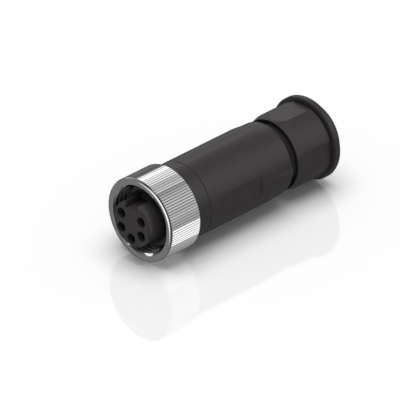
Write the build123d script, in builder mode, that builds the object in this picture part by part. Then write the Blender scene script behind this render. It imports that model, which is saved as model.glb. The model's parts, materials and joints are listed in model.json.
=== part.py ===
"""Five-pole socket connector with screw terminals, a knurled coupling nut and a cable gland.

The axis is Z: the cable enters at z = 0 and the socket face is on top. Sizes are in millimetres.
"""
import os
from math import cos, radians, sin

from build123d import *

os.makedirs("parts", exist_ok=True)

# Lengths along the axis, from the cable end to the socket face
gland_length = 17.8
gland_gap = 2.7
housing_length = 33.3
housing_gap = 0.3
sleeve_length = 5.35
nut_seat_gap = 0.1
nut_length = 11.55
insert_reach = 3.33

# Heights of the faces that those lengths give
housing_back = gland_length + gland_gap
housing_front = housing_back + housing_length
sleeve_back = housing_front + housing_gap
sleeve_front = sleeve_back + sleeve_length
nut_back = sleeve_front + nut_seat_gap
nut_front = nut_back + nut_length
insert_face = nut_front + insert_reach

# Clearances
running_gap = 0.1
seat_gap = 0.05
loose_gap = 0.3

# Coupling nut: 7/8-16 UN internal thread, straight knurl, inner lip
nut_thread_major_radius = 22.225 / 2
nut_mouth_bevel = 0.1375
nut_mouth_radius = nut_thread_major_radius + nut_mouth_bevel
nut_wall = 1.5375
knurl_depth = 0.3
knurl_root_radius = nut_thread_major_radius + nut_wall
knurl_crest_radius = knurl_root_radius + knurl_depth
knurl_ribs = 104
knurl_end_bevel = 0.1
nut_corner = 0.35
nut_corner_radius = knurl_crest_radius - nut_corner
nut_face_margin = 1.0
nut_face_radius = nut_corner_radius - nut_face_margin
nut_face_slope = 0.12
nut_lip = 1.5
nut_travel = 2.0
slip_ring_thickness = 1.0
slip_ring_clearance = 0.5125
slip_ring_radius = nut_thread_major_radius - slip_ring_clearance

# Socket insert
insert_radius = 7.1
insert_edge = 0.35
ledge_depth = 3.5
flange_radius = 9.22
seal_groove_radius = 8.04
seal_groove_depth = 1.6
neck_radius = 8.6
rear_neck_radius = 8.2
neck_step = 1.55
insert_back = 50.0
keyway_width = 4.7
keyway_floor = 4.7
keyway_length = 6.45
keyway_angle = 270
pole_pitch = 60
pole_count = 5
pole_circle_radius = 4.59
pole_hole_radius = 1.6

# Contacts and their screw terminals, laid out on the pole at angle 0
contact_recess = 2.8
contact_radius = 1.5
contact_bore_radius = 1.05
contact_bore_depth = 10.0
contact_mouth = 0.2
contact_collar_radius = 2.0
contact_collar_height = 1.6
terminal_width = 3.6
terminal_inner = 3.7
terminal_outer = 7.0
terminal_height = 11.0
wire_chamber_width = 2.4
wire_chamber_inner = 4.1
wire_chamber_outer = 6.3
wire_chamber_height = 7.0
screw_radius = 1.2
screw_tip = 5.6
screw_head = 8.05
screw_rise = 3.5
screw_slot_width = 0.35
screw_slot_depth = 0.5
clamp_width = 2.2
clamp_thickness = 0.4
clamp_height = 4.0

# Terminal block behind the insert, and the ring that holds the sleeve on it
block_length = 14.0
wire_entry_radius = 1.5
wire_entry_circle = 5.1
lock_groove_radius = 7.75
lock_ring_radius = 9.0
lock_ring_thickness = 1.4
lock_ring_opening = 50

# Sleeve behind the nut, with the threaded spigot that carries the housing
sleeve_edge = 0.25
spigot_length = 8.0
spigot_radius = 9.25
spigot_thread_major_radius = 9.8
housing_seal_section = 0.48

# Housing: wrench flats, tapered back end, threaded neck for the gland nut
housing_radius = 11.6
housing_edge = 0.25
housing_back_radius = 11.12
housing_taper = 6.3
housing_bore_depth = 8.7
housing_cavity_radius = 9.5
seal_recess_radius = 10.55
seal_recess_depth = 0.8
cavity_floor = 25.5
flat_distance = 11.0
flat_bottom = 33.1
flat_length = 15.0
flat_front_slope = 2.0
flat_back_slope = 0.9
index_rib_width = 2.0
neck_thread_major_radius = 9.5
neck_thread_minor_radius = 8.9
neck_end = 5.2
neck_bevel = 0.5
neck_relief_radius = 8.3
neck_relief_length = 2.9
seal_bore_radius = 7.0
seal_stop_radius = 5.9
seal_stop_bottom = 18.6
seal_stop_top = 19.8

# Cable seal and clamping cage inside the neck
cable_radius = 4.75
cable_seal_bottom = 9.6
cable_seal_bevel = 0.9
cage_inner_radius = 6.2
cage_outer_radius = 8.4
cage_base = 1.25
finger_length = 4.4
finger_count = 8
finger_slot = 1.0
finger_bevel = 0.5
thrust_ring_thickness = 0.85

# Gland nut: round flange, round body with four flats, tapered front
gland_flange_radius = 12.8
gland_flange_height = 4.4
gland_flange_slope = 2.55
gland_flange_bevel = 0.25
gland_radius = 11.6
gland_flat_distance = 11.08
gland_flat_turn = 2
gland_back_radius = 10.05
gland_taper = 3.0
gland_front_radius = 10.93
gland_floor = 2.6
gland_mouth_radius = 10.2
gland_mouth_depth = 0.65
cable_entry_radius = 6.0
cable_entry_round = 0.6

sleeve_radius = housing_radius
pole_angles = [keyway_angle + pole_pitch * (k + 1) for k in range(pole_count)]
nut_lip_radius = neck_radius + loose_gap
slip_ring_bottom = nut_back + nut_lip + seat_gap
flange_back = slip_ring_bottom + slip_ring_thickness + nut_travel + seat_gap
ledge = nut_front - ledge_depth
neck_shoulder = sleeve_front - neck_step
contact_tip = insert_face - contact_recess
terminal_back = insert_back - terminal_height
screw_height = terminal_back + screw_rise
block_back = insert_back - block_length
spigot_back = sleeve_back - spigot_length
lock_ring_back = spigot_back - seat_gap - lock_ring_thickness
cage_bottom = neck_end - 4 * seat_gap - cage_base
thrust_ring_bottom = gland_floor + 3 * seat_gap


def turned(*outline, mode=Mode.ADD):
    """Turns a closed outline of (radius, height) points about the axis."""
    with BuildSketch(Plane.XZ) as profile:
        with BuildLine():
            Polyline(*outline, close=True)
        make_face()
    revolve(profile.sketch, axis=Axis.Z, mode=mode)


def save(piece, name):
    """Labels a finished piece and writes its file."""
    piece.part.label = name
    export_step(piece.part, f"parts/{name}.step")


# Coupling nut
with BuildPart() as coupling_nut:
    with BuildSketch(Plane.XY.offset(nut_back)):
        with BuildLine():
            corners = []
            for k in range(2 * knurl_ribs):
                corner_radius = knurl_crest_radius if k % 2 else knurl_root_radius
                corner_angle = radians(180 * k / knurl_ribs)
                corners.append((corner_radius * cos(corner_angle), corner_radius * sin(corner_angle)))
            Polyline(*corners, close=True)
        make_face()
    extrude(amount=nut_length)
    turned(
        (0, nut_back),
        (knurl_crest_radius - knurl_end_bevel, nut_back),
        (knurl_crest_radius, nut_back + knurl_end_bevel),
        (knurl_crest_radius, nut_front - nut_face_slope - nut_corner),
        (nut_corner_radius, nut_front - nut_face_slope),
        (nut_face_radius, nut_front),
        (0, nut_front),
        mode=Mode.INTERSECT,
    )
    turned(
        (0, nut_back - 1),
        (nut_lip_radius, nut_back - 1),
        (nut_lip_radius, nut_back + nut_lip),
        (nut_thread_major_radius, nut_back + nut_lip),
        (nut_thread_major_radius, nut_front - nut_mouth_bevel),
        (nut_mouth_radius, nut_front),
        (0, nut_front),
        mode=Mode.SUBTRACT,
    )
save(coupling_nut, "coupling_nut")

# Slip ring that the nut's lip pushes against the insert's flange
with BuildPart() as slip_ring:
    turned(
        (nut_lip_radius, slip_ring_bottom),
        (slip_ring_radius, slip_ring_bottom),
        (slip_ring_radius, slip_ring_bottom + slip_ring_thickness),
        (nut_lip_radius, slip_ring_bottom + slip_ring_thickness),
    )
save(slip_ring, "slip_ring")

# Socket insert with keyway, flange, seal groove and stepped neck
with BuildPart() as socket_insert:
    turned(
        (0, insert_back),
        (rear_neck_radius, insert_back),
        (rear_neck_radius, neck_shoulder),
        (neck_radius, neck_shoulder),
        (neck_radius, flange_back),
        (flange_radius, flange_back),
        (flange_radius, ledge),
        (seal_groove_radius, ledge),
        (seal_groove_radius, ledge - seal_groove_depth),
        (insert_radius, ledge - seal_groove_depth),
        (insert_radius, insert_face - insert_edge),
        (insert_radius - insert_edge, insert_face),
        (0, insert_face),
    )
    with BuildSketch(Plane.XY.offset(insert_face)):
        with Locations(Rot(0, 0, keyway_angle) * Pos(keyway_floor, 0)):
            Rectangle(insert_radius, keyway_width, align=(Align.MIN, Align.CENTER))
    extrude(amount=-keyway_length, mode=Mode.SUBTRACT)
    with Locations(Location((0, 0, insert_face))):
        with PolarLocations(pole_circle_radius, pole_count, pole_angles[0], pole_pitch * pole_count):
            Hole(pole_hole_radius, depth=insert_face - insert_back)
    with Locations(Location((0, 0, insert_back), (180, 0, 0))):
        with PolarLocations(pole_circle_radius, pole_count, -pole_angles[0], -pole_pitch * pole_count):
            Hole(contact_collar_radius + seat_gap, depth=contact_collar_height + seat_gap)
save(socket_insert, "socket_insert")

# Ring seal in the groove at the foot of the insert
with BuildPart() as front_seal:
    front_seal_bevel = 0.2
    turned(
        (insert_radius + seat_gap, ledge - seal_groove_depth),
        (seal_groove_radius - seat_gap, ledge - seal_groove_depth),
        (seal_groove_radius - seat_gap, ledge - front_seal_bevel),
        (seal_groove_radius - seat_gap - front_seal_bevel, ledge),
        (insert_radius + seat_gap + front_seal_bevel, ledge),
        (insert_radius + seat_gap, ledge - front_seal_bevel),
    )
save(front_seal, "front_seal")

# One contact with its terminal, then a copy at each pole
with BuildPart() as contact:
    with BuildSketch(Plane.XZ):
        with BuildLine():
            Polyline(
                (pole_circle_radius, insert_back),
                (pole_circle_radius + contact_collar_radius, insert_back),
                (pole_circle_radius + contact_collar_radius, insert_back + contact_collar_height),
                (pole_circle_radius + contact_radius, insert_back + contact_collar_height),
                (pole_circle_radius + contact_radius, contact_tip - contact_mouth),
                (pole_circle_radius + contact_radius - contact_mouth, contact_tip),
                (pole_circle_radius + contact_bore_radius + contact_mouth, contact_tip),
                (pole_circle_radius + contact_bore_radius, contact_tip - contact_mouth),
                (pole_circle_radius + contact_bore_radius, contact_tip - contact_bore_depth),
                (pole_circle_radius, contact_tip - contact_bore_depth - contact_bore_radius / 2),
                close=True,
            )
        make_face()
    revolve(axis=Axis((pole_circle_radius, 0, 0), (0, 0, 1)))
    with BuildSketch(Plane.XY.offset(terminal_back)):
        with Locations((terminal_inner, 0)):
            Rectangle(terminal_outer - terminal_inner, terminal_width, align=(Align.MIN, Align.CENTER))
    extrude(amount=terminal_height)
    with BuildSketch(Plane.XY.offset(terminal_back)):
        with Locations((wire_chamber_inner, 0)):
            Rectangle(
                wire_chamber_outer - wire_chamber_inner, wire_chamber_width, align=(Align.MIN, Align.CENTER)
            )
    extrude(amount=wire_chamber_height, mode=Mode.SUBTRACT)
    with Locations(Location((terminal_outer, 0, screw_height), (0, 90, 0))):
        Hole(screw_radius + seat_gap, depth=terminal_outer - wire_chamber_outer)

# Clamp plate between the wire and the screw, then a copy at each pole
with BuildPart() as clamp_plate:
    with Locations((screw_tip - seat_gap, 0, screw_height)):
        Box(clamp_thickness, clamp_width, clamp_height, align=(Align.MAX, Align.CENTER, Align.CENTER))

for number, angle in enumerate(pole_angles, 1):
    with BuildPart() as pole_contact:
        add(contact.part.rotate(Axis.Z, angle))
    save(pole_contact, f"socket_contact_{number}")
    with BuildPart() as pole_clamp:
        add(clamp_plate.part.rotate(Axis.Z, angle))
    save(pole_clamp, f"wire_clamp_{number}")

# Slotted terminal screws, one node of separate solids
with BuildPart() as terminal_screws:
    for angle in pole_angles:
        with BuildSketch(Plane(origin=(0, 0, screw_height), x_dir=(-sin(radians(angle)), cos(radians(angle)), 0),
                               z_dir=(cos(radians(angle)), sin(radians(angle)), 0)).offset(screw_tip)):
            Circle(screw_radius)
        extrude(amount=screw_head - screw_tip)
        with BuildSketch(Plane(origin=(0, 0, screw_height), x_dir=(-sin(radians(angle)), cos(radians(angle)), 0),
                               z_dir=(cos(radians(angle)), sin(radians(angle)), 0)).offset(screw_head)):
            Rectangle(screw_slot_width, 3 * screw_radius)
        extrude(amount=-screw_slot_depth, mode=Mode.SUBTRACT)
save(terminal_screws, "terminal_screws")

# Terminal block with a pocket, a wire entry and a screw hole at each pole
with BuildPart() as terminal_block:
    turned(
        (0, block_back),
        (rear_neck_radius, block_back),
        (rear_neck_radius, lock_ring_back - seat_gap),
        (lock_groove_radius, lock_ring_back - seat_gap),
        (lock_groove_radius, spigot_back),
        (rear_neck_radius, spigot_back),
        (rear_neck_radius, insert_back),
        (0, insert_back),
    )
    for angle in pole_angles:
        with BuildSketch(Plane.XY.offset(terminal_back - seat_gap)):
            with Locations(Rot(0, 0, angle) * Pos(terminal_inner - seat_gap, 0)):
                Rectangle(
                    terminal_outer - terminal_inner + 2 * seat_gap,
                    terminal_width + 2 * seat_gap,
                    align=(Align.MIN, Align.CENTER),
                )
        extrude(amount=terminal_height + seat_gap, mode=Mode.SUBTRACT)
        with BuildSketch(Plane.XY.offset(block_back)):
            with Locations(Rot(0, 0, angle) * Pos(wire_entry_circle, 0)):
                Circle(wire_entry_radius)
        extrude(amount=terminal_back - block_back, mode=Mode.SUBTRACT)
        with BuildSketch(Plane(origin=(0, 0, screw_height),
                               z_dir=(cos(radians(angle)), sin(radians(angle)), 0)).offset(terminal_inner)):
            Circle(screw_radius + running_gap)
        extrude(amount=rear_neck_radius, mode=Mode.SUBTRACT)
save(terminal_block, "terminal_block")

# Sleeve behind the nut, with the spigot for the housing
with BuildPart() as front_sleeve:
    turned(
        (rear_neck_radius + seat_gap, spigot_back),
        (spigot_radius, spigot_back),
        (spigot_radius, sleeve_back),
        (sleeve_radius - sleeve_edge, sleeve_back),
        (sleeve_radius, sleeve_back + sleeve_edge),
        (sleeve_radius, sleeve_front - sleeve_edge),
        (sleeve_radius - sleeve_edge, sleeve_front),
        (neck_radius + seat_gap, sleeve_front),
        (neck_radius + seat_gap, neck_shoulder),
        (rear_neck_radius + seat_gap, neck_shoulder),
    )
save(front_sleeve, "front_sleeve")

# Open ring that locks the sleeve on the terminal block
with BuildPart() as lock_ring:
    turned(
        (lock_groove_radius + seat_gap, lock_ring_back),
        (lock_ring_radius, lock_ring_back),
        (lock_ring_radius, lock_ring_back + lock_ring_thickness),
        (lock_groove_radius + seat_gap, lock_ring_back + lock_ring_thickness),
    )
    with BuildSketch(Plane.XY.offset(lock_ring_back)):
        with BuildLine():
            reach = 2 * lock_ring_radius
            side = reach * sin(radians(lock_ring_opening / 2))
            Polyline((0, 0), (reach, side), (reach, -side), close=True)
        make_face()
    extrude(amount=lock_ring_thickness, mode=Mode.SUBTRACT)
save(lock_ring, "lock_ring")

# Ring seal between the sleeve and the housing
with BuildPart() as housing_seal:
    with BuildSketch(Plane.XZ):
        with Locations((spigot_radius + seat_gap + housing_seal_section, sleeve_back - housing_seal_section)):
            Circle(housing_seal_section)
    revolve(axis=Axis.Z)
save(housing_seal, "housing_seal")

# Housing
housing_bore_radius = spigot_thread_major_radius + running_gap
with BuildPart() as housing:
    turned(
        (0, neck_end),
        (neck_thread_minor_radius - neck_bevel, neck_end),
        (neck_thread_minor_radius, neck_end + neck_bevel),
        (neck_thread_minor_radius, housing_back - neck_relief_length),
        (neck_relief_radius, housing_back - neck_relief_length),
        (neck_relief_radius, housing_back),
        (housing_back_radius - housing_edge, housing_back),
        (housing_back_radius, housing_back + housing_edge),
        (housing_radius, housing_back + housing_taper),
        (housing_radius, housing_front - housing_edge),
        (housing_radius - housing_edge, housing_front),
        (0, housing_front),
    )
    with BuildSketch(Plane.XZ.offset(-housing_radius)):
        with BuildLine():
            Polyline(
                (flat_distance, flat_bottom),
                (flat_distance, flat_bottom + flat_length),
                (housing_radius + 1, flat_bottom + flat_length + flat_front_slope),
                (housing_radius + 1, flat_bottom - flat_back_slope),
                close=True,
            )
        make_face()
        mirror(about=Plane.YZ)
    extrude(amount=2 * housing_radius, mode=Mode.SUBTRACT)
    with BuildSketch(Plane.XY.offset(housing_back + housing_edge)):
        Rectangle(2 * housing_radius - housing_edge, index_rib_width)
    extrude(amount=housing_taper)
    turned(
        (0, neck_end),
        (seal_bore_radius, neck_end),
        (seal_bore_radius, seal_stop_bottom),
        (seal_stop_radius, seal_stop_bottom),
        (seal_stop_radius, seal_stop_top),
        (housing_cavity_radius, cavity_floor),
        (housing_cavity_radius, housing_front - housing_bore_depth),
        (housing_bore_radius, housing_front - housing_bore_depth),
        (housing_bore_radius, housing_front - seal_recess_depth),
        (seal_recess_radius, housing_front - seal_recess_depth),
        (seal_recess_radius, housing_front),
        (0, housing_front),
        mode=Mode.SUBTRACT,
    )
save(housing, "housing")

# Rubber cable seal in the neck
cable_seal_radius = seal_bore_radius - loose_gap
cable_seal_top = seal_stop_bottom - running_gap
with BuildPart() as cable_seal:
    turned(
        (cable_radius, cable_seal_bottom),
        (cable_seal_radius - cable_seal_bevel, cable_seal_bottom),
        (cable_seal_radius, cable_seal_bottom + cable_seal_bevel),
        (cable_seal_radius, cable_seal_top),
        (cable_radius, cable_seal_top),
    )
save(cable_seal, "cable_seal")

# Clamping cage with spring fingers
finger_radius = seal_bore_radius - loose_gap
finger_tip = cage_bottom + cage_base + finger_length
with BuildPart() as clamping_cage:
    turned(
        (cage_inner_radius, cage_bottom),
        (cage_outer_radius, cage_bottom),
        (cage_outer_radius, cage_bottom + cage_base),
        (finger_radius, cage_bottom + cage_base),
        (finger_radius, finger_tip - finger_bevel),
        (cage_inner_radius, finger_tip),
    )
    with BuildSketch(Plane.XY.offset(cage_bottom + cage_base)):
        with PolarLocations(0, finger_count):
            Rectangle(2 * finger_radius, finger_slot, align=(Align.MIN, Align.CENTER))
    extrude(amount=finger_length, mode=Mode.SUBTRACT)
save(clamping_cage, "clamping_cage")

# Thrust ring between the gland nut and the cage
with BuildPart() as thrust_ring:
    turned(
        (cage_inner_radius, thrust_ring_bottom),
        (cage_outer_radius, thrust_ring_bottom),
        (cage_outer_radius, thrust_ring_bottom + thrust_ring_thickness),
        (cage_inner_radius, thrust_ring_bottom + thrust_ring_thickness),
    )
save(thrust_ring, "thrust_ring")

# Gland nut
gland_bore_radius = neck_thread_major_radius + running_gap
with BuildPart() as gland_nut:
    with BuildSketch(Plane.XY.offset(gland_flange_height)):
        Rectangle(2 * gland_flat_distance, 2 * gland_flat_distance, rotation=gland_flat_turn)
    extrude(amount=gland_length - gland_flange_height)
    turned(
        (0, gland_flange_height),
        (gland_radius, gland_flange_height),
        (gland_radius, gland_length - gland_taper),
        (gland_front_radius, gland_length),
        (0, gland_length),
        mode=Mode.INTERSECT,
    )
    turned(
        (0, 0),
        (gland_back_radius, 0),
        (gland_flange_radius, gland_flange_slope),
        (gland_flange_radius, gland_flange_height - gland_flange_bevel),
        (gland_flange_radius - gland_flange_bevel, gland_flange_height),
        (0, gland_flange_height),
    )
    turned(
        (0, 0),
        (cable_entry_radius + cable_entry_round, 0),
        (cable_entry_radius, cable_entry_round),
        (cable_entry_radius, gland_floor),
        (gland_bore_radius, gland_floor),
        (gland_bore_radius, gland_length - gland_mouth_depth),
        (gland_mouth_radius, gland_length),
        (0, gland_length),
        mode=Mode.SUBTRACT,
    )
save(gland_nut, "gland_nut")
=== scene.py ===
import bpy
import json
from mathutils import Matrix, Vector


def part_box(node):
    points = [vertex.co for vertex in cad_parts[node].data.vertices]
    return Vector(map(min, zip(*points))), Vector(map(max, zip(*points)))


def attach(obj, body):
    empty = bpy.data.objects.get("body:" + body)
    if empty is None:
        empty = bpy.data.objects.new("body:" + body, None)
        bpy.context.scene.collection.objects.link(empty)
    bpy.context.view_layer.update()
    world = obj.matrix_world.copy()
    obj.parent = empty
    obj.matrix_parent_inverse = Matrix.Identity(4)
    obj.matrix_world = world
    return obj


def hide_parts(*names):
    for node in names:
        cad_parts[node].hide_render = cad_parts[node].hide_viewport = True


bl_info = {
    "name": "Socket Connector",
    "version": (1, 0, 0),
    "blender": (4, 5, 0),
    "location": "View3D > Sidebar > Connector",
    "description": "Dresses a five-pole socket connector with its threads, knurl and finishes, and sets its stage",
    "category": "Object",
}

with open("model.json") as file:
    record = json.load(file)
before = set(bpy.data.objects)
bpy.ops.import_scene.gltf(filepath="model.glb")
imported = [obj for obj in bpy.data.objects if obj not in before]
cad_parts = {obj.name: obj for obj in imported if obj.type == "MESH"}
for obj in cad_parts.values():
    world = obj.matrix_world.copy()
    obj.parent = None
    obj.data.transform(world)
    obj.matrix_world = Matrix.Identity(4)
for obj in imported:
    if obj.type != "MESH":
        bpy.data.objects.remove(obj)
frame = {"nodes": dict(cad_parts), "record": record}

import json
from math import atan2, cos, degrees, hypot, pi, radians, sin, tan

import bmesh
import bpy
from bpy.props import FloatProperty, FloatVectorProperty, IntProperty, PointerProperty
from mathutils import Matrix, Vector

MM = 0.001
WELD = 0.001 * MM
THREAD_STEPS = 72

# The photo's view in the object's axes: to the right, up, and back toward the camera
VIEW_RIGHT = Vector((-0.70711, 0, -0.70711))
VIEW_UP = Vector((0.35355, -0.86603, -0.35355))
VIEW_BACK = Vector((-0.61237, -0.5, 0.61237))

# Level of the studio round the axis: angle in degrees from -X, which is to the right in the photo, toward -Y, which
# is up from the floor
RING_LEVELS = (
    (-180, 0.09), (-150, 0.03), (-125, 0.04), (-110, 0.08), (-89, 0.09), (-69, 0.115), (-19, 0.115), (-9, 0.12),
    (1, 0.24), (11, 0.41), (21, 0.49), (31, 0.57), (41, 0.59), (51, 0.54), (61, 0.46), (71, 0.32), (81, 0.21),
    (91, 0.15), (101, 0.13), (111, 0.17), (121, 0.28), (131, 0.37), (144, 0.4), (154, 0.35), (162, 0.08),
)

# Cards that the round sides reflect: name, first and last of the same angles, level
NUT_STRIPS = (
    ("nut_card_1", -114, -98, 0.3), ("nut_card_2", -98, -74, 0.4), ("nut_card_3", -74, -24, 1.3),
    ("nut_card_4", -24, 12, 0.38), ("nut_card_5", 12, 88, 0.14), ("nut_card_6", 80, 106, 0.55),
    ("nut_card_7", 106, 152, 0.9),
)
BODY_STRIPS = (("body_card", 156, 188, 0.22),)

# Cards that the front ends reflect: name, direction along -X, -Y and +Z, spans in degrees, level
NUT_CARDS = (
    ("nut_card_front", (-0.895, 0.32, 0.294), (22, 20), 0.95),
    ("nut_card_ahead", (-0.31, -0.25, 0.917), (26, 36), 1.15),
    ("nut_card_streak", (-0.045, 0.612, 0.789), (12, 14), 1.2),
)
FACE_CARDS = (("insert_card", (-0.17, 0.713, 0.679), (12, 12), 1.5),)

# Profile of a wrench flat of the housing: height, distance from the axis
FLAT_ROWS = (
    (32.76, 11.6), (32.88, 11.4), (33.0, 11.2), (33.12, 11.04), (33.3, 11.0), (36.0, 11.0), (42.0, 11.0),
    (47.6, 11.0), (48.0, 11.02), (48.3, 11.14), (48.6, 11.34), (49.0, 11.58),
)


# Working in edit mode


def put_down():
    """Leaves edit mode and deselects every object."""
    if bpy.context.object and bpy.context.object.mode != "OBJECT":
        bpy.ops.object.mode_set(mode="OBJECT")
    bpy.ops.object.select_all(action="DESELECT")


def draw_outline(name, outline):
    """Draws a closed chain of (radius, height) points, in mm, in the XZ plane, by extruding from one point."""
    put_down()
    bpy.ops.mesh.primitive_plane_add(size=MM)
    piece = bpy.context.object
    piece.name = piece.data.name = name
    bpy.ops.object.mode_set(mode="EDIT")
    bpy.ops.mesh.select_all(action="SELECT")
    bpy.ops.mesh.merge(type="CENTER")
    bpy.ops.transform.translate(value=(outline[0][0] * MM, 0, outline[0][1] * MM))
    for here, there in zip(outline, [*outline[1:], outline[0]]):
        step = ((there[0] - here[0]) * MM, 0, (there[1] - here[1]) * MM)
        bpy.ops.mesh.extrude_vertices_move(TRANSFORM_OT_translate={"value": step})
    bpy.ops.mesh.select_all(action="SELECT")
    return piece


def finish_modifier(piece, kind, **settings):
    """Adds a modifier with its settings and applies it."""
    put_down()
    piece.select_set(True)
    bpy.context.view_layer.objects.active = piece
    modifier = piece.modifiers.new(kind.title(), kind)
    for name, value in settings.items():
        setattr(modifier, name, value)
    bpy.ops.object.modifier_apply(modifier=modifier.name)


def turn(name, outline, steps, rounding=0.0):
    """Spins an outline round the axis and rounds the edges of the turned piece."""
    piece = draw_outline(name, outline)
    bpy.ops.mesh.spin(steps=steps, angle=2 * pi, center=(0, 0, 0), axis=(0, 0, 1))
    bpy.ops.mesh.select_all(action="SELECT")
    bpy.ops.mesh.remove_doubles(threshold=WELD)
    bpy.ops.mesh.normals_make_consistent(inside=False)
    bpy.ops.object.mode_set(mode="OBJECT")
    if rounding:
        finish_modifier(piece, "BEVEL", width=rounding * MM, segments=3, limit_method="ANGLE",
                        angle_limit=radians(24))
    return piece


def select_points(piece, wanted):
    """Selects in edit mode the points for which wanted(radius, angle, height, point) holds, in mm and degrees."""
    put_down()
    piece.select_set(True)
    bpy.context.view_layer.objects.active = piece
    bpy.ops.object.mode_set(mode="EDIT")
    bpy.ops.mesh.select_mode(type="VERT")
    bpy.ops.mesh.select_all(action="DESELECT")
    mesh = bmesh.from_edit_mesh(piece.data)
    found = 0
    for point in mesh.verts:
        x, y, z = point.co / MM
        if wanted(hypot(x, y), degrees(atan2(y, x)) % 360, z, (x, y, z)):
            point.select = True
            found += 1
    mesh.select_flush_mode()
    bmesh.update_edit_mesh(piece.data)
    return found


def flatten(piece, distance, low, high):
    """Presses the points between two heights that lie past a distance along +X back to that distance."""
    if select_points(piece, lambda r, a, z, p: low < z < high and p[0] > distance):
        bpy.ops.transform.resize(value=(0, 1, 1), center_override=(distance * MM, 0, 0))


def smooth(piece, angle):
    """Shades a piece smooth, with its edges over the angle kept sharp."""
    put_down()
    piece.select_set(True)
    bpy.context.view_layer.objects.active = piece
    bpy.ops.object.shade_smooth_by_angle(angle=radians(angle))
    finish_modifier(piece, "WEIGHTED_NORMAL", keep_sharp=True)


def join(pieces):
    """Joins pieces into the first one."""
    put_down()
    for piece in pieces:
        piece.select_set(True)
    bpy.context.view_layer.objects.active = pieces[0]
    bpy.ops.object.join()
    return pieces[0]


def wind_thread(name, wall, crest, pitch, start, turns):
    """Winds a right-hand ridge from the wall's radius to the crest's, with its ends drawn in to the wall."""
    root, tip = pitch * 0.44, pitch * 0.08
    sink = 0.04
    foot = wall - sink if crest > wall else wall + sink
    outline = [(foot, start - root), (wall, start - root), (crest, start - tip), (crest, start + tip),
               (wall, start + root), (foot, start + root)]
    piece = draw_outline(name, outline)
    bpy.ops.object.mode_set(mode="OBJECT")
    finish_modifier(piece, "SCREW", screw_offset=pitch * MM, iterations=turns, steps=THREAD_STEPS,
                    render_steps=THREAD_STEPS, use_merge_vertices=False, use_normal_calculate=False)
    rise = pitch * turns
    bpy.ops.object.mode_set(mode="EDIT")
    bpy.ops.mesh.select_all(action="SELECT")
    bpy.ops.mesh.remove_doubles(threshold=WELD)
    for level in (start, start + rise):
        select_points(piece, lambda r, a, z, p: abs(p[1]) < 0.001 and p[0] > 0 and abs(z - level) < root * 1.1)
        bpy.ops.transform.resize(value=(0.02, 1, 1), center_override=(foot * MM, 0, 0))
        bpy.ops.mesh.edge_face_add()
    bpy.ops.mesh.select_all(action="SELECT")
    bpy.ops.mesh.normals_make_consistent(inside=False)
    smooth(piece, 35)
    return piece


def dress(piece, body, nodes, material):
    """Hands a finished piece to its body, with the CAD nodes it stands for and its material."""
    put_down()
    piece.data.materials.clear()
    piece.data.materials.append(material)
    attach(piece, body)
    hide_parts(*nodes)


# Shader nodes


class Wire:
    """An output in a shader tree. Python's operators on it add Math nodes."""

    def __init__(self, tree, socket=None):
        self.tree = tree
        self.socket = socket

    def node(self, kind, settings=(), values=(), output=0):
        """Adds a node of any type: its settings first, then the values or links of its sockets."""
        made = self.tree.nodes.new("ShaderNode" + kind)
        for name, value in dict(settings).items():
            if name == "stops":
                ramp = made.color_ramp
                ramp.elements.remove(ramp.elements[1])
                for number, (place, level) in enumerate(value):
                    stop = ramp.elements.new(place) if number else ramp.elements[0]
                    stop.position = place
                    stop.color = grey(level)
            else:
                setattr(made, name, value)
        for name, value in dict(values).items():
            if isinstance(value, Wire):
                self.tree.links.new(value.socket, made.inputs[name])
            else:
                made.inputs[name].default_value = value
        return Wire(self.tree, made.outputs[output] if len(made.outputs) else None)

    def beside(self, name):
        """Gives another output of this one's node."""
        return Wire(self.tree, self.socket.node.outputs[name])

    def maths(self, operation, *others):
        """Adds a Math node on this value and the others."""
        return self.node("Math", {"operation": operation}, dict(enumerate((self, *others))))

    def blend(self, first, second):
        """Goes from one colour to another as this value goes from 0 to 1."""
        return self.node("Mix", {"data_type": "RGBA"}, {"Factor": self, "A": first, "B": second}, output=2)

    def __add__(self, other):
        return self.maths("ADD", other)

    def __sub__(self, other):
        return self.maths("SUBTRACT", other)

    def __mul__(self, other):
        return self.maths("MULTIPLY", other)

    def __truediv__(self, other):
        return self.maths("DIVIDE", other)

    __radd__ = __add__


def new_material(name):
    """Adds an empty node material and gives it with a wire to build from."""
    material = bpy.data.materials.new(name)
    material.use_nodes = True
    material.node_tree.nodes.clear()
    return material, Wire(material.node_tree)


def close_material(wire, surface):
    """Links a surface shader to the material's output."""
    wire.node("OutputMaterial", (), {"Surface": surface})


def shade(colour, share=1):
    """Gives a share of a colour, opaque."""
    return (*[c * share for c in colour], 1)


def grey(level):
    """Gives an opaque grey."""
    return (level, level, level, 1)


def place_noise(wire, size, detail=2.0, stretch=(1, 1, 1)):
    """Gives a noise value in object space whose blots are of a size in millimetres."""
    place = wire.node("TexCoord", output="Object")
    mapped = wire.node("Mapping", (), {"Vector": place, "Scale": stretch})
    return wire.node("TexNoise", (), {"Vector": mapped, "Scale": 1 / (size * MM), "Detail": detail})


def plated_metal(name, colour, roughness, streak):
    """Plated metal: a clear reflection with faint stains and fine polishing marks along the axis."""
    material, wire = new_material(name)
    stain = place_noise(wire, 3.0, 3.0)
    marks = place_noise(wire, 0.12, 2.0, streak)
    tint = stain.blend(shade(colour, 0.95), shade(colour))
    bump = wire.node("Bump", (), {"Strength": 0.12, "Distance": 0.01 * MM, "Height": marks})
    shader = wire.node("BsdfPrincipled", (), {
        "Base Color": tint, "Metallic": 1.0, "Roughness": roughness + (stain - 0.5) * 0.08 + (marks - 0.5) * 0.05,
        "Normal": bump})
    close_material(wire, shader)
    return material


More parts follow.
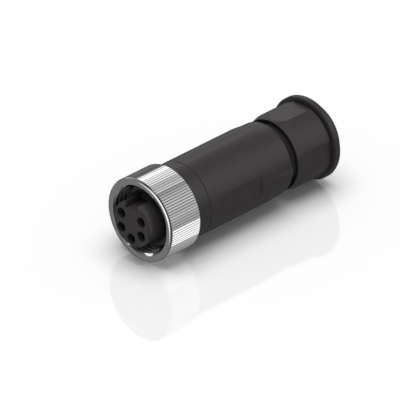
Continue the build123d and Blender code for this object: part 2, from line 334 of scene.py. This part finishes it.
def moulded_plastic(name, colour, roughness, grain, grain_strength):
    """Moulded plastic: a fine eroded grain, and slight flow marks in tone and gloss."""
    material, wire = new_material(name)
    flow = place_noise(wire, 6.0, 2.0, (1, 1, 0.35))
    speck = place_noise(wire, grain, 3.0)
    tint = (flow * 0.6 + speck * 0.4).blend(shade(colour, 0.86), shade(colour, 1.14))
    bump = wire.node("Bump", (), {"Strength": grain_strength, "Distance": 0.02 * MM, "Height": speck})
    shader = wire.node("BsdfPrincipled", (), {
        "Base Color": tint, "Roughness": roughness + (flow - 0.5) * 0.06 + (speck - 0.5) * 0.06, "Normal": bump,
        "IOR": 1.52})
    close_material(wire, shader)
    return material


def soft_rubber(name, colour):
    """Rubber: dull, with a dusty bloom in patches."""
    material, wire = new_material(name)
    bloom = place_noise(wire, 1.8, 4.0)
    pores = place_noise(wire, 0.08, 2.0)
    tint = bloom.blend(shade(colour), shade(colour, 1.6))
    bump = wire.node("Bump", (), {"Strength": 0.2, "Distance": 0.02 * MM, "Height": pores})
    shader = wire.node("BsdfPrincipled", (), {
        "Base Color": tint, "Roughness": 0.7 + bloom * 0.12, "Normal": bump})
    close_material(wire, shader)
    return material


# Sizes and looks that a user would change


class NutSettings(bpy.types.PropertyGroup):
    """Sizes of the coupling nut."""

    ribs: IntProperty(name="Ribs", description="Number of ribs round the nut", default=104, min=24)
    rib_radius: FloatProperty(
        name="Rib radius", description="Radius over the ribs, in millimetres", default=12.95, min=12.0)
    groove_depth: FloatProperty(
        name="Groove depth", description="Depth of the grooves between the ribs, in millimetres",
        default=0.14, min=0.0)
    pitch: FloatProperty(
        name="Thread pitch", description="Pitch of the coupling thread, in millimetres", default=1.5875, min=0.5)
    minor_radius: FloatProperty(
        name="Thread crest radius", description="Radius over the crests of the internal thread, in millimetres",
        default=10.3, min=9.0)
    colour: FloatVectorProperty(
        name="Plating", description="Colour of the plating", subtype="COLOR", default=(0.75, 0.75, 0.76),
        min=0.0, max=1.0)
    roughness: FloatProperty(
        name="Roughness", description="Dullness of the plating", default=0.06, min=0.0, max=1.0)


class BodySettings(bpy.types.PropertyGroup):
    """Sizes and colours of the black plastic pieces and their threads."""

    spigot_pitch: FloatProperty(
        name="Spigot pitch", description="Pitch of the thread under the housing, in millimetres",
        default=1.25, min=0.5)
    neck_pitch: FloatProperty(
        name="Neck pitch", description="Pitch of the thread for the gland nut, in millimetres",
        default=1.5, min=0.5)
    colour: FloatVectorProperty(
        name="Plastic", description="Colour of the black plastic", subtype="COLOR",
        default=(0.0412, 0.0361, 0.0376), min=0.0, max=1.0)
    roughness: FloatProperty(
        name="Roughness", description="Dullness of the black plastic", default=0.28, min=0.0, max=1.0)


class StageSettings(bpy.types.PropertyGroup):
    """Floor, light and camera."""

    floor_drop: FloatProperty(
        name="Floor", description="Distance of the floor from the axis, in millimetres", default=13.0, min=12.0)
    floor_gloss: FloatProperty(
        name="Floor gloss", description="Share of the floor that mirrors the object", default=0.1, min=0.0, max=1.0)
    light: FloatProperty(name="Light", description="Strength of the studio light", default=1.0, min=0.0)
    lens: FloatProperty(
        name="Lens", description="Focal length of the camera", default=949.0, min=50.0, unit="CAMERA")


# Pieces


class CONNECTOR_OT_coupling_nut(bpy.types.Operator):
    """Model the knurled coupling nut with its lead-in and internal thread"""

    bl_idname = "connector.coupling_nut"
    bl_label = "Coupling Nut"

    def execute(self, context):
        look = context.scene.connector_nut
        low, high = (c / MM for c in (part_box("coupling_nut")[0][2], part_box("coupling_nut")[1][2]))
        crest, bore, mouth = look.rib_radius, 11.11, look.minor_radius - 0.05
        lip_radius, lip, bevel = 8.9, 1.5, 0.1
        outline = [
            (lip_radius, low), (crest - bevel, low), (crest, low + bevel), (crest, high - 0.42),
            (12.85, high - 0.3), (12.7, high - 0.2), (12.5, high - 0.11), (12.3, high - 0.05), (12.1, high - 0.015),
            (11.9, high), (10.9, high), (mouth, high - 0.58), (mouth, high - 0.75), (bore, high - 1.25),
            (bore, low + lip), (lip_radius, low + lip),
        ]
        rib_steps = 6
        rib_angle = 360 / look.ribs
        knurl_floor, knurl_front = crest - 0.3, high - 0.15
        nut = turn("knurled_nut", outline, look.ribs * rib_steps, rounding=0.04)
        select_points(nut, lambda r, a, z, p: (
            r > knurl_floor and z < knurl_front and round(a / rib_angle * rib_steps) % rib_steps == 0))
        share = 1 - look.groove_depth / crest
        bpy.ops.transform.resize(value=(share, share, 1), center_override=(0, 0, 0))
        smooth(nut, 24)
        thread_back, thread_front = low + 3.4, high - 1.2
        turns = int((thread_front - thread_back) / look.pitch)
        start = high - 0.9 - turns * look.pitch
        thread = wind_thread("nut_thread", bore, look.minor_radius, look.pitch, start, turns)
        # Painted shade: the bore and the thread inside the nut take the plating at a quarter of its colour, and
        # duller, for the shadowed inside of the nut
        shaded_bore_metal = plated_metal("nickel_bore_painted_shade", [c * 0.25 for c in look.colour], look.roughness + 0.22, (1, 1, 1))
        thread.data.materials.append(shaded_bore_metal)
        dress(nut, "nut", ["coupling_nut"],
              plated_metal("nickel_plating", look.colour, look.roughness, (1, 1, 0.12)))
        nut.data.materials.append(shaded_bore_metal)
        # Painted shade: the flanks of the knurl's grooves take the plating at half its colour, for the shade inside
        # the grooves
        nut.data.materials.append(plated_metal("nickel_groove_painted_shade", [c * 0.5 for c in look.colour], 0.15, (1, 1, 1)))
        painted_shade_bore_slot, painted_shade_groove_slot = 1, 2
        bore_reach, bore_front, knurl_reach = 11.3, high - 0.6, 12
        for face in nut.data.polygons:
            radius = hypot(*face.center[:2]) / MM
            # Faces deep in the bore take the painted-shade bore plating
            if radius < bore_reach and face.center[2] < bore_front * MM:
                face.material_index = painted_shade_bore_slot
            # The flanks of the knurl's grooves take the painted-shade groove plating
            elif knurl_reach < radius < crest - 0.03 and abs(face.normal.z) < 0.3:
                face.material_index = painted_shade_groove_slot
        join([nut, thread])
        return {"FINISHED"}


class CONNECTOR_OT_front_sleeve(bpy.types.Operator):
    """Model the sleeve behind the nut with its threaded spigot"""

    bl_idname = "connector.front_sleeve"
    bl_label = "Front Sleeve"

    def execute(self, context):
        look = context.scene.connector_body
        low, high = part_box("front_sleeve")[0][2] / MM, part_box("front_sleeve")[1][2] / MM
        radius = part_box("front_sleeve")[1][0] / MM
        step = high - 5.65
        spigot, edge = 9.25, 0.12
        outline = [
            (8.25, low), (9.0, low), (spigot, low + 0.25), (spigot, step), (radius - edge, step),
            (radius, step + edge), (radius, high - 0.25), (radius - 0.25, high), (8.65, high), (8.65, high - 1.55),
            (8.25, high - 1.55),
        ]
        sleeve = turn("sleeve", outline, 240, rounding=0.08)
        smooth(sleeve, 20)
        thread = wind_thread("spigot_thread", spigot, 9.75, look.spigot_pitch, low + 0.75, 4)
        sleeve = join([sleeve, thread])
        dress(sleeve, "front", ["front_sleeve"],
              moulded_plastic("sleeve_plastic", look.colour, look.roughness - 0.04, 0.1, 0.12))
        return {"FINISHED"}


class CONNECTOR_OT_housing(bpy.types.Operator):
    """Model the housing with its wrench flats, tapered back end and threaded neck"""

    bl_idname = "connector.housing"
    bl_label = "Housing"

    def execute(self, context):
        look = context.scene.connector_body
        low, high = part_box("housing")[0][2] / MM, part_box("housing")[1][2] / MM
        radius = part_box("housing")[1][1] / MM
        back = low + 15.3
        neck, relief, cavity, seal_stop = 8.9, 8.3, 9.5, 5.9
        taper = [(11.18, back + 0.06), (11.25, back + 1.3), (11.3, back + 2.6)]
        outline = [
            (7.0, low), (8.4, low), (neck, low + 0.5), (neck, back - 2.9), (relief, back - 2.7), (relief, back),
            (11.12, back), *taper, (radius, back + 6.3), *((radius, height) for height, _ in FLAT_ROWS),
            (radius, high - 0.2), (radius - 0.2, high), (10.55, high), (10.55, high - 0.8), (9.9, high - 0.8),
            (9.9, high - 8.7), (cavity, high - 8.7), (cavity, 25.5), (seal_stop, 19.8), (seal_stop, 18.6),
            (7.0, 18.6),
        ]
        housing = turn("housing_shell", outline, 360, rounding=0.08)
        rib_half_angle = 5.2
        for _ in range(2):
            for reach, height in taper:
                select_points(housing, lambda r, a, z, p: (
                    abs(z - height) < 0.12 and r > 11.0 and min(a, 360 - a) < rib_half_angle))
                bpy.ops.transform.resize(value=(radius / reach, radius / reach, 1), center_override=(0, 0, 0))
            for height, distance in FLAT_ROWS:
                flatten(housing, distance, height - 0.01, height + 0.01)
            bpy.ops.mesh.select_all(action="SELECT")
            bpy.ops.transform.rotate(value=pi, orient_axis="Z", center_override=(0, 0, 0))
        smooth(housing, 10)
        thread = wind_thread("neck_thread", neck, 9.45, look.neck_pitch, low + 1.2, 8)
        housing = join([housing, thread])
        dress(housing, "housing", ["housing"],
              moulded_plastic("housing_plastic", look.colour, look.roughness, 0.12, 0.16))
        return {"FINISHED"}


class CONNECTOR_OT_gland_nut(bpy.types.Operator):
    """Model the gland nut with its four flats, tapered front and round flange"""

    bl_idname = "connector.gland_nut"
    bl_label = "Gland Nut"

    def execute(self, context):
        look = context.scene.connector_body
        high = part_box("gland_nut")[1][2] / MM
        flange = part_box("gland_nut")[1][0] / MM
        body, undercut, flat, opening = 11.6, 10.9, 11.08, 6.0
        cone = [(body - 0.067 * k, high - 3.0 + 0.3 * k) for k in range(10)]
        outline = [
            (6.6, 0), (9.9, 0), (10.2, 0.08), (12.6, 2.3), (flange, 2.7), (flange, 4.15), (flange - 0.25, 4.4),
            (undercut, 4.4), (undercut, 4.8), (body, 4.85), (body, 7.0), (body, 9.0), (body, 11.0), (body, 13.0),
            *cone, (10.95, high - 0.1), (10.86, high), (10.0, high - 0.8), (9.6, high - 0.9), (9.6, 2.6),
            (opening, 2.6), (opening, 0.6),
        ]
        nut = turn("gland_shell", outline, 360)
        for _ in range(4):
            flatten(nut, flat, 4.6, high + 1)
            bpy.ops.mesh.select_all(action="SELECT")
            bpy.ops.transform.rotate(value=pi / 2, orient_axis="Z", center_override=(0, 0, 0))
        put_down()
        nut.select_set(True)
        nut.rotation_euler.z = radians(2)
        bpy.ops.object.transform_apply(location=False, rotation=True, scale=False)
        smooth(nut, 12)
        dress(nut, "gland", ["gland_nut"],
              moulded_plastic("gland_plastic", look.colour, look.roughness, 0.12, 0.16))
        return {"FINISHED"}


class CONNECTOR_OT_finishes(bpy.types.Operator):
    """Give the CAD pieces that stay as they are their finishes"""

    bl_idname = "connector.finishes"
    bl_label = "Finishes"

    def execute(self, context):
        look = context.scene.connector_body
        rubber = soft_rubber("rubber", (0.016, 0.016, 0.016))
        steel = plated_metal("zinc_plating", (0.6, 0.61, 0.62), 0.3, (1, 1, 1))
        gold = plated_metal("gold_plating", (0.83, 0.62, 0.3), 0.22, (1, 1, 0.3))
        insert = moulded_plastic("insert_plastic", look.colour, look.roughness, 0.1, 0.1)
        cage = moulded_plastic("cage_plastic", (0.1, 0.1, 0.1), 0.45, 0.1, 0.12)
        by_slot = {"rubber": rubber, "steel": steel, "contact_metal": gold, "insert_plastic": insert,
                   "cage_plastic": cage}
        slots = {row["node"]: row["material_slot"] for row in frame["record"]["subparts"]}
        for name, node in frame["nodes"].items():
            material = by_slot.get(slots[name])
            if material:
                for place in node.material_slots:
                    place.material = material
        return {"FINISHED"}


def add_card(name, aim, spans, level, lit):
    """Adds a soft card in a direction along -X, -Y and +Z, which lights only what is in lit."""
    distance = 0.6
    put_down()
    toward = Vector((-aim[0], -aim[1], aim[2])).normalized()
    bpy.ops.object.light_add(type="AREA", location=toward * distance + Vector((0, 0, 0.065)))
    card = bpy.context.object
    card.name = name
    card.rotation_mode = "QUATERNION"
    card.rotation_quaternion = (-toward).to_track_quat("-Z", "Y")
    card.data.shape = "RECTANGLE"
    card.data.size, card.data.size_y = (2 * distance * tan(radians(span / 2)) for span in spans)
    card.data.energy = level * pi * card.data.size * card.data.size_y
    card.light_linking.receiver_collection = lit


def gather(name, *pieces):
    """Gathers pieces in a collection that a card can light by itself."""
    lit = bpy.data.collections.new(name)
    for piece in pieces:
        lit.objects.link(bpy.data.objects[piece])
    return lit


def lay_floor(look):
    """Lays the white floor under the lying object, which mirrors it faintly and is clear from its other side."""
    put_down()
    bpy.ops.mesh.primitive_circle_add(vertices=96, radius=0.6, fill_type="NGON",
                                      location=(0, look.floor_drop * MM, 0.035), rotation=(pi / 2, 0, 0))
    floor = bpy.context.object
    floor.name = floor.data.name = "floor"
    bpy.ops.object.transform_apply(location=True, rotation=True)
    material, wire = new_material("white_floor")
    path = wire.node("LightPath")
    unseen = path.beside("Is Glossy Ray") + path.beside("Is Shadow Ray")
    behind = wire.node("NewGeometry", output="Backfacing")
    matt = wire.node("BsdfDiffuse", (), {"Color": grey(0.95)})
    lift = wire.node("Emission", (), {"Color": grey(1), "Strength": 1.0})
    paper = wire.node("MixShader", (), {0: 0.03, 1: matt, 2: lift})
    mirror = wire.node("BsdfGlossy", (), {"Color": grey(1), "Roughness": 0.04})
    top = wire.node("MixShader", (), {0: look.floor_gloss, 1: paper, 2: mirror})
    clear = wire.node("BsdfTransparent")
    surface = wire.node("MixShader", (), {0: (behind + unseen).maths("MINIMUM", 1.0), 1: top, 2: clear})
    close_material(wire, surface)
    floor.data.materials.append(material)


def light_world(scene, look):
    """Surrounds the object with a studio: white to the camera, graded in reflections and even for matt light.

    The spot lies where the floor mirrors the camera's view. It is white, and so the floor stays white round the
    mirror image.
    """
    world = bpy.data.worlds.new("studio")
    scene.world = world
    world.use_nodes = True
    world.node_tree.nodes.clear()
    wire = Wire(world.node_tree)
    path = wire.node("LightPath")
    seen, soft = path.beside("Is Camera Ray"), path.beside("Is Diffuse Ray")
    split = wire.node("SeparateXYZ", (), {"Vector": wire.node("TexCoord", output="Generated")})
    across, up, along = (split.beside(axis) for axis in "XYZ")
    ring_angle = (up * -1).maths("ARCTAN2", across * -1) / (2 * pi) + 0.5
    stops = [(angle / 360 + 0.5, level) for angle, level in RING_LEVELS]
    ring = wire.node("ValToRGB", {"stops": stops}, {"Fac": ring_angle})
    front = (along - 0.1).maths("MULTIPLY", 5.0).maths("MINIMUM", 1.0).maths("MAXIMUM", 0.0)
    far = (across * 1.54 + up * 1.26).maths("MINIMUM", 1.0).maths("MAXIMUM", 0.0)
    graded = front.blend(ring, far.blend(grey(0.04), grey(0.22)))
    spot = (across * 0.612 - up * 0.5 - along * 0.612).maths("GREATER_THAN", 0.9975)
    colour = soft.blend(spot.blend(graded, grey(1)), grey(0.3))
    dome = wire.node("Background", (), {"Color": colour, "Strength": look.light})
    white = wire.node("Background", (), {"Color": grey(1), "Strength": 1.0})
    sky = wire.node("MixShader", (), {0: seen, 1: dome, 2: white})
    wire.node("OutputWorld", (), {"Surface": sky})


def hang_lights(look):
    """Hangs the overhead light, which throws the shadow, and the cards that the pieces reflect."""
    put_down()
    bpy.ops.object.light_add(type="SUN", location=(0, -0.5, 0.035), rotation=(pi / 2, 0, 0))
    overhead = bpy.context.object
    overhead.name = "overhead_light"
    overhead.data.energy = 0.75 * pi * look.light
    overhead.data.angle = radians(56)
    overhead.visible_glossy = False
    metal = gather("nut_light", "knurled_nut")
    plastic = gather("body_light", "sleeve", "housing_shell", "gland_shell")
    outward, along, height = 0.79, -0.612, 84
    for strips, lit in ((NUT_STRIPS, metal), (BODY_STRIPS, plastic)):
        for name, first, last, level in strips:
            angle = radians((first + last) / 2)
            aim = (outward * cos(angle), outward * sin(angle), along)
            add_card(name, aim, (outward * (last - first), height), level * look.light, lit)
    face = gather("face_light", "socket_insert")
    for cards, lit in ((NUT_CARDS, metal), (FACE_CARDS, face)):
        for name, aim, spans, level in cards:
            add_card(name, aim, spans, level * look.light, lit)


def place_camera(scene, look):
    """Places the camera far off, with a long lens. The photo's view is nearly parallel."""
    put_down()
    bpy.ops.object.camera_add()
    camera = bpy.context.object
    camera.name = "camera"
    aim, distance, to_right, upward = Vector((0, 0, 70.6)), 3000, 16.85, 5.64
    place = aim + distance * VIEW_BACK + to_right * VIEW_RIGHT + upward * VIEW_UP
    camera.matrix_world = Matrix((
        (VIEW_RIGHT[0], VIEW_UP[0], VIEW_BACK[0], place[0] * MM),
        (VIEW_RIGHT[1], VIEW_UP[1], VIEW_BACK[1], place[1] * MM),
        (VIEW_RIGHT[2], VIEW_UP[2], VIEW_BACK[2], place[2] * MM),
        (0, 0, 0, 1)))
    camera.data.lens = look.lens
    camera.data.sensor_width = 36
    camera.data.clip_start, camera.data.clip_end = 0.1, 20
    scene.camera = camera
    scene.view_settings.view_transform = "Standard"


class CONNECTOR_OT_stage(bpy.types.Operator):
    """Set the floor, the studio light and the camera"""

    bl_idname = "connector.stage"
    bl_label = "Stage"

    def execute(self, context):
        look = context.scene.connector_stage
        lay_floor(look)
        light_world(context.scene, look)
        hang_lights(look)
        place_camera(context.scene, look)
        return {"FINISHED"}


class CONNECTOR_PT_panel(bpy.types.Panel):
    """Lists the connector's settings and the steps that build it"""

    bl_idname = "CONNECTOR_PT_panel"
    bl_label = "Connector"
    bl_space_type = "VIEW_3D"
    bl_region_type = "UI"
    bl_category = "Connector"

    def draw(self, context):
        for group in ("connector_nut", "connector_body", "connector_stage"):
            box = self.layout.box()
            settings = getattr(context.scene, group)
            for name in settings.__annotations__:
                box.prop(settings, name)
        for step in STEPS:
            self.layout.operator(step.bl_idname)


STEPS = (CONNECTOR_OT_coupling_nut, CONNECTOR_OT_front_sleeve, CONNECTOR_OT_housing, CONNECTOR_OT_gland_nut,
         CONNECTOR_OT_finishes, CONNECTOR_OT_stage)
GROUPS = {"connector_nut": NutSettings, "connector_body": BodySettings, "connector_stage": StageSettings}


def register():
    """Registers the classes and hangs the settings on the scene."""
    for made in (*GROUPS.values(), *STEPS, CONNECTOR_PT_panel):
        bpy.utils.register_class(made)
    for name, group in GROUPS.items():
        setattr(bpy.types.Scene, name, PointerProperty(type=group))


def unregister():
    """Removes the settings and the classes."""
    for name in GROUPS:
        delattr(bpy.types.Scene, name)
    for made in (CONNECTOR_PT_panel, *reversed(STEPS), *GROUPS.values()):
        bpy.utils.unregister_class(made)


def main():
    """Builds every piece and the stage."""
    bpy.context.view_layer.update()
    register()
    bpy.ops.connector.coupling_nut()
    bpy.ops.connector.front_sleeve()
    bpy.ops.connector.housing()
    bpy.ops.connector.gland_nut()
    bpy.ops.connector.finishes()
    bpy.ops.connector.stage()


if __name__ == "__main__":
    main()
